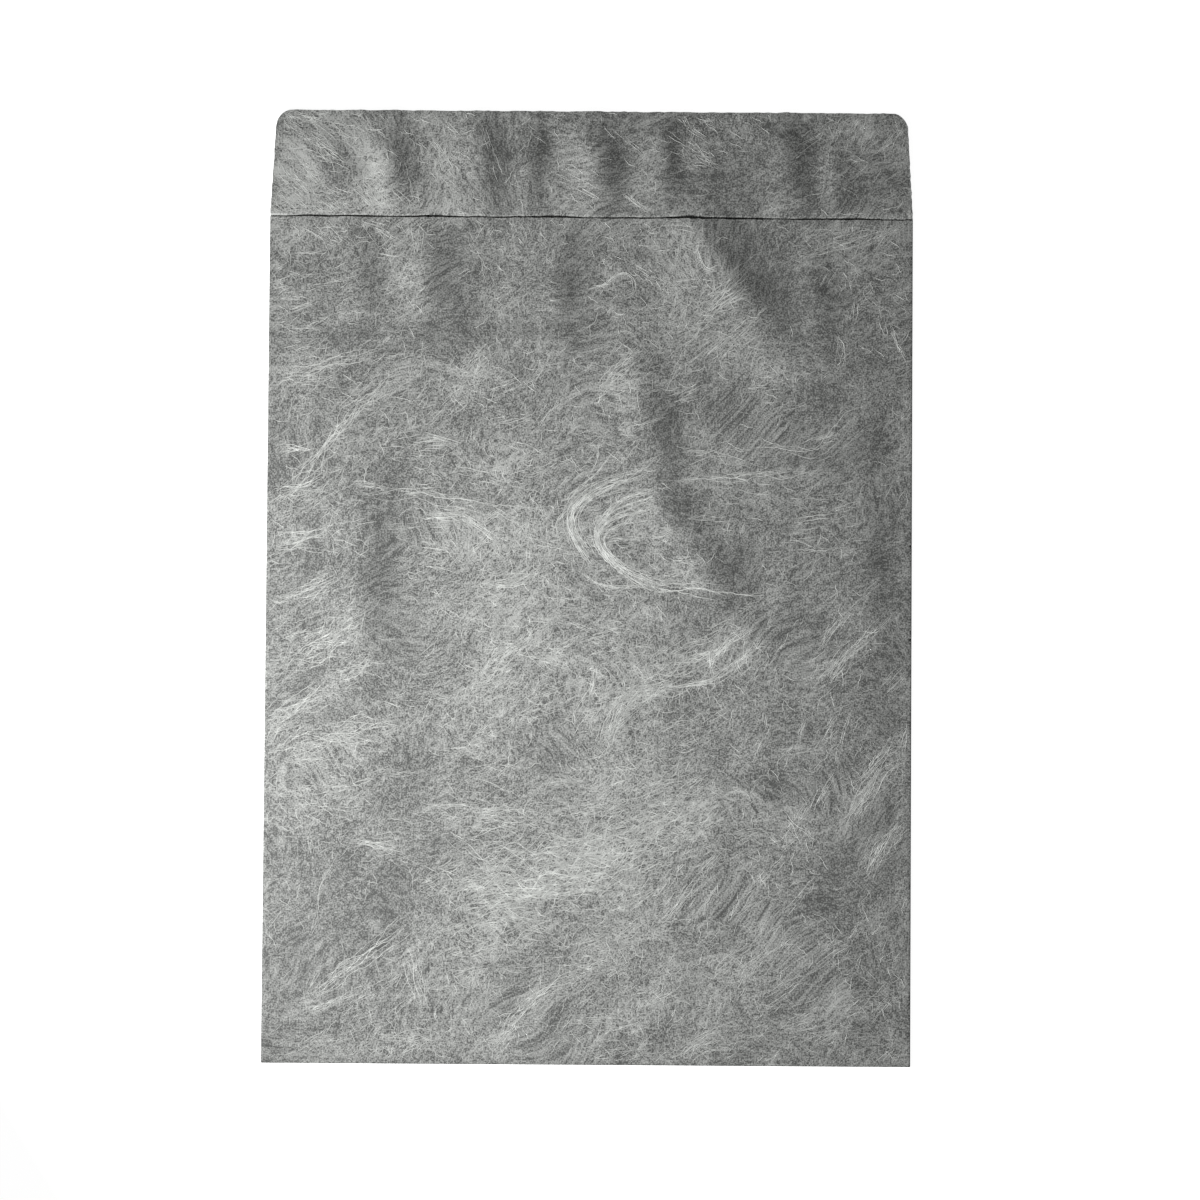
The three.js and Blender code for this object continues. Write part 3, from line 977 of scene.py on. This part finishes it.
def crimp(chance, travel, wavelength, reach, waves=3, peak=1.7):
    """A wavy sideways offset along a strand: a few sine waves of about one wavelength."""
    total = np.zeros_like(travel)
    for _ in range(waves):
        pitch = wavelength * chance.uniform(0.6, 1.6)
        total += np.sin(2.0 * math.pi * travel / pitch + chance.uniform(0.0, 2.0 * math.pi))
    return total * reach / peak


def sideways(points):
    """Unit vectors across a line of points."""
    along = np.gradient(points, axis=0)
    along /= np.maximum(np.hypot(along[:, 0], along[:, 1])[:, None], 1e-9)
    return np.stack([-along[:, 1], along[:, 0]], axis=1)


def skein_strands(chance, count, spread, route, least, step=0.9):
    """The strands of one skein: each starts and ends where it likes, and wanders and frays off the others."""
    centre = smoothed(route, step)
    travel = np.arange(len(centre)) * step
    side = sideways(centre)
    strands = []
    for _ in range(count):
        share = chance.uniform(least, 1.0)
        start = int(chance.uniform(0.0, 1.0 - share) * len(centre))
        end = start + max(6, int(share * len(centre)))
        fray = chance.normal(0.0, FRAY) * (travel - travel[start])
        offset = chance.normal(0.0, spread) + fray
        offset = offset + crimp(chance, travel, SWAY_LENGTH, SWAY * spread)
        offset = offset + crimp(chance, travel, *CRIMP)
        strands.append((centre + side * offset[:, None])[start:end])
    return strands


def flow_round(across, along):
    """Which way the skeins round each place run, and how strongly they comb it."""
    cosine = np.full_like(across, LAY_PULL * math.cos(2.0 * LAY))
    sine = np.full_like(across, LAY_PULL * math.sin(2.0 * LAY))
    weight = np.full_like(across, LAY_PULL)
    for count, spread, route in SKEINS:
        points = smoothed(route, COMB_STEP)
        heading = np.gradient(points, axis=0)
        double = 2.0 * np.arctan2(heading[:, 1], heading[:, 0])
        for (x, y), angle in zip(points, double):
            apart = (across - x) ** 2 + (along - y) ** 2
            near = math.sqrt(count) * np.exp(-apart / (2.0 * COMB_REACH**2))
            cosine += near * math.cos(angle)
            sine += near * math.sin(angle)
            weight += near
    return 0.5 * np.arctan2(sine, cosine), np.hypot(cosine, sine) / (weight + LOOSE)


def pale_places(chance, sheet, count, tries_each=8, skein_share=0.25, anyhow=0.16, where_pale=1.5):
    """Random places on the sheet, more of them where the felt's patches and painted highlights are pale."""
    tries = tries_each * count
    across = chance.uniform(-sheet.half, sheet.half, tries)
    along = chance.uniform(-sheet.body, sheet.flap, tries)
    pale = veil_density(across, along) + skein_share * skein_density(across, along)
    kept = chance.uniform(0.0, 1.0, tries) < anyhow + where_pale * pale
    return across[kept][:count], along[kept][:count]


def looser(share, least, more):
    """What a measure is where a share of the felt is combed: least in combed felt and more in loose."""
    return least + more * (1.0 - share)


def curled_fibres(chance, sheet, count, step=1.0):
    """Short crimped fibres, combed the way the skeins round them run."""
    across, along = pale_places(chance, sheet, count)
    heading, combing = flow_round(across, along)
    fibres = []
    for x, y, way, share in zip(across, along, heading, combing):
        points = int(chance.uniform(*CURLED_POINTS) + COMBED_POINTS * share)
        stray = chance.normal(0.0, looser(share, *CURLED_STRAY))
        back = math.pi * chance.integers(0, 2)
        curl = np.cumsum(chance.normal(0.0, looser(share, *CURLED_BEND), points))
        bends = way + stray + back + curl + KINK * np.sin(np.arange(points) * KINK_PACE)
        steps = np.stack([np.cos(bends), np.sin(bends)], axis=1) * step
        fibres.append(np.array([x, y]) + np.cumsum(steps, axis=0))
    return fibres


def combed_fibres(chance, sheet, count, step=1.5):
    """Longer, straighter fibres that lie side by side in small bundles."""
    across, along = pale_places(chance, sheet, count // IN_BUNDLE)
    heading, combing = flow_round(across, along)
    fibres = []
    for x, y, way, share in zip(across, along, heading, combing):
        turn = way + chance.normal(0.0, looser(share, *BUNDLE_STRAY))
        cosine, sine = math.cos(turn), math.sin(turn)
        for _ in range(IN_BUNDLE):
            points = int(chance.uniform(*BUNDLE_POINTS))
            travel = (np.arange(points) - points / 2.0) * step + chance.normal(0.0, SLIDE)
            wander = chance.normal(0.0, BESIDE) + chance.normal(0.0, SLANT) * travel
            wander = wander + crimp(chance, travel, *BUNDLE_CRIMP)
            spots = np.stack([travel * cosine - wander * sine, travel * sine + wander * cosine], axis=1)
            fibres.append(np.array([x, y]) + spots)
    return fibres


def on_sheet(sheet, points):
    """The part of a strand that lies on the sheet, and on one side of the mouth."""
    middle = points[len(points) // 2]
    margin = 0.5
    beside = sheet.half_width(points[:, 1]) - margin
    inside = (np.abs(points[:, 0]) < beside) & (points[:, 1] < sheet.flap - margin)
    inside &= points[:, 1] > sheet.bottom + margin
    inside &= (points[:, 1] > margin) if middle[1] > 0.0 else (points[:, 1] < -margin)
    return points[inside]


def strand_piece(context, name, sheet, strands, width, seed, finish):
    """Many fine strands as one mesh: each is a tapered thread that lies half sunk in the sheet."""
    chance = np.random.default_rng(seed)
    threads = bpy.data.curves.new(name, "CURVE")
    threads.dimensions = "3D"
    threads.bevel_depth = 0.5 * MM  # so a radius of 1 on a point makes a thread 1 mm thick
    threads.bevel_resolution = 0
    for points in strands:
        points = on_sheet(sheet, points)
        if len(points) < FEWEST_POINTS:
            continue
        top = sheet.top(points[:, 0], points[:, 1]) - SUNK * width
        taper = np.sin(np.linspace(0.0, math.pi, len(points))) ** TAPER
        thick = width * chance.uniform(*THICKNESS_RANGE) * taper
        spline = threads.splines.new("POLY")
        spline.points.add(len(points) - 1)
        spots = placed(points[:, 0], points[:, 1], top)
        spline.points.foreach_set("co", np.column_stack([spots, np.ones(len(points))]).ravel())
        spline.points.foreach_set("radius", thick)
    piece = bpy.data.objects.new(name, threads)
    context.collection.objects.link(piece)
    deselect()
    context.view_layer.objects.active = piece
    piece.select_set(True)
    bpy.ops.object.convert(target="MESH")
    piece = context.object
    bpy.ops.object.mode_set(mode="EDIT")
    bpy.ops.mesh.select_all(action="SELECT")
    bpy.ops.mesh.remove_doubles(threshold=1e-7)
    bpy.ops.mesh.normals_make_consistent(inside=False)
    bpy.ops.object.mode_set(mode="OBJECT")
    bpy.ops.object.shade_smooth()
    finished(piece, name, finish)


class ENVELOPE_OT_lay_strands(bpy.types.Operator):
    """Lay the long strands that run in skeins over the sheet"""

    bl_idname = "envelope.lay_strands"
    bl_label = "Lay the long strands"

    def execute(self, context):
        sheet = Sheet(context.scene.envelope_sheet)
        settings = context.scene.envelope_fibres
        place_seed, width_seed = STRAND_SEEDS
        chance = np.random.default_rng(place_seed)
        finish = strand_finish(settings)
        for name, (skeins, stoutness, crowd, least) in STRAND_GROUPS.items():
            width = stoutness * settings.strand_width
            strands = []
            for count, spread, route in skeins:
                strands += skein_strands(chance, round(crowd * count), WANDER * spread, route, least)
            strand_piece(context, name, sheet, strands, width, width_seed, finish)
        return {"FINISHED"}


# The pieces that the short fibres make: how they are spun, and how many there are beside the full count.
FIBRE_LAYERS = {
    "short_fibres": (curled_fibres, 1.0),
    "top_fibres": (curled_fibres, 1.0),
    "combed_fibres": (combed_fibres, 0.8),
}


class ENVELOPE_OT_scatter_fibres(bpy.types.Operator):
    """Scatter short crimped fibres over the sheet"""

    bl_idname = "envelope.scatter_fibres"
    bl_label = "Scatter short fibres"

    def execute(self, context):
        sheet = Sheet(context.scene.envelope_sheet)
        settings = context.scene.envelope_fibres
        place_seed, width_seed = FIBRE_SEEDS
        chance = np.random.default_rng(place_seed)
        finish = strand_finish(settings)
        for name, (spun, portion) in FIBRE_LAYERS.items():
            fibres = spun(chance, sheet, int(portion * settings.fibre_count))
            strand_piece(context, name, sheet, fibres, settings.fibre_width, width_seed, finish)
        return {"FINISHED"}


class ENVELOPE_OT_set_stage(bpy.types.Operator):
    """Set the floor, the lamps and the camera"""

    bl_idname = "envelope.set_stage"
    bl_label = "Set the stage"

    def execute(self, context):
        settings = context.scene.envelope_stage
        self.lay_floor(context)
        self.hang_lamp(context, settings)
        self.aim_camera(context, settings)
        context.scene.world = surrounding_light(settings.fill_strength)
        context.scene.view_settings.view_transform = "Standard"
        return {"FINISHED"}

    def lay_floor(self, context):
        deselect()
        bpy.ops.mesh.primitive_plane_add(size=FLOOR_SIDE, location=(0.0, 0.0, -FLOOR_GAP * MM))
        floor = context.object
        floor.name = "floor"
        floor.data.materials.append(floor_finish())

    def hang_lamp(self, context, settings):
        lamp = bpy.data.lights.new("key_lamp", "AREA")
        lamp.shape = "RECTANGLE"
        lamp.size, lamp.size_y = KEY_SIDES
        lamp.energy = settings.key_power
        key = bpy.data.objects.new("key_lamp", lamp)
        key.location = KEY_PLACE
        x, y, z = np.array(KEY_AIM) - np.array(KEY_PLACE)
        key.rotation_euler = (math.atan2(math.hypot(x, y), -z), 0.0, math.atan2(y, x) - math.pi / 2.0)
        context.collection.objects.link(key)

    def aim_camera(self, context, settings):
        lens = bpy.data.cameras.new("camera")
        lens.sensor_width = 36.0
        lens.lens = lens.sensor_width * settings.camera_distance / settings.view_width
        camera = bpy.data.objects.new("camera", lens)
        back = settings.camera_distance * math.sin(settings.tilt)
        up = settings.camera_distance * math.cos(settings.tilt)
        away = np.array([back * math.sin(settings.roll), -back * math.cos(settings.roll), up])
        camera.location = np.array(CAMERA_AIM) * MM + away
        camera.rotation_euler = (settings.tilt, 0.0, settings.roll)
        context.collection.objects.link(camera)
        context.scene.camera = camera


OPERATORS = [
    ENVELOPE_OT_fold_sheet,
    ENVELOPE_OT_lay_strands,
    ENVELOPE_OT_scatter_fibres,
    ENVELOPE_OT_set_stage,
]
SETTINGS = {
    "envelope_sheet": SheetSettings,
    "envelope_fibres": FibreSettings,
    "envelope_stage": StageSettings,
}


class ENVELOPE_PT_panel(bpy.types.Panel):
    """The envelope's steps, in order"""

    bl_label = "Spunbond envelope"
    bl_idname = "ENVELOPE_PT_panel"
    bl_space_type = "VIEW_3D"
    bl_region_type = "UI"
    bl_category = "Envelope"

    def draw(self, context):
        for operator in OPERATORS:
            self.layout.operator(operator.bl_idname)
        for name, group in SETTINGS.items():
            box = self.layout.box()
            for value in group.__annotations__:
                box.prop(getattr(context.scene, name), value)


def register():
    for group in SETTINGS.values():
        bpy.utils.register_class(group)
    for name, group in SETTINGS.items():
        setattr(bpy.types.Scene, name, PointerProperty(type=group))
    for operator in OPERATORS:
        bpy.utils.register_class(operator)
    bpy.utils.register_class(ENVELOPE_PT_panel)


def unregister():
    bpy.utils.unregister_class(ENVELOPE_PT_panel)
    for operator in reversed(OPERATORS):
        bpy.utils.unregister_class(operator)
    for name, group in SETTINGS.items():
        delattr(bpy.types.Scene, name)
        bpy.utils.unregister_class(group)


def declare_sheet():
    """Works out the width, length and area of the flat blank that the folded sheet was cut from, and keeps
    none of them.
    """
    sheet = Sheet(bpy.context.scene.envelope_sheet)
    middle = sheet.thickness / 2.0
    side_arc = math.pi * (sheet.side_radius - middle)
    bottom_arc = math.pi * (sheet.bottom_radius - middle)
    panel_length = sheet.body - sheet.bottom_radius
    flat_width = 2.0 * (sheet.panel_half + side_arc + sheet.tab - sheet.side_radius)
    flat_length = sheet.flap + 2.0 * panel_length + bottom_arc
    far_area = 2.0 * sheet.half * panel_length + 2.0 * (sheet.half - sheet.taper / 2.0) * sheet.flap
    area = far_area + 2.0 * sheet.half * bottom_arc + flat_width * panel_length
    flat_width * MM
    flat_length * MM
    area * MM * MM


def main():
    register()
    bpy.ops.envelope.fold_sheet()
    bpy.ops.envelope.lay_strands()
    bpy.ops.envelope.scatter_fibres()
    bpy.ops.envelope.set_stage()
    declare_sheet()


if __name__ == "__main__":
    main()
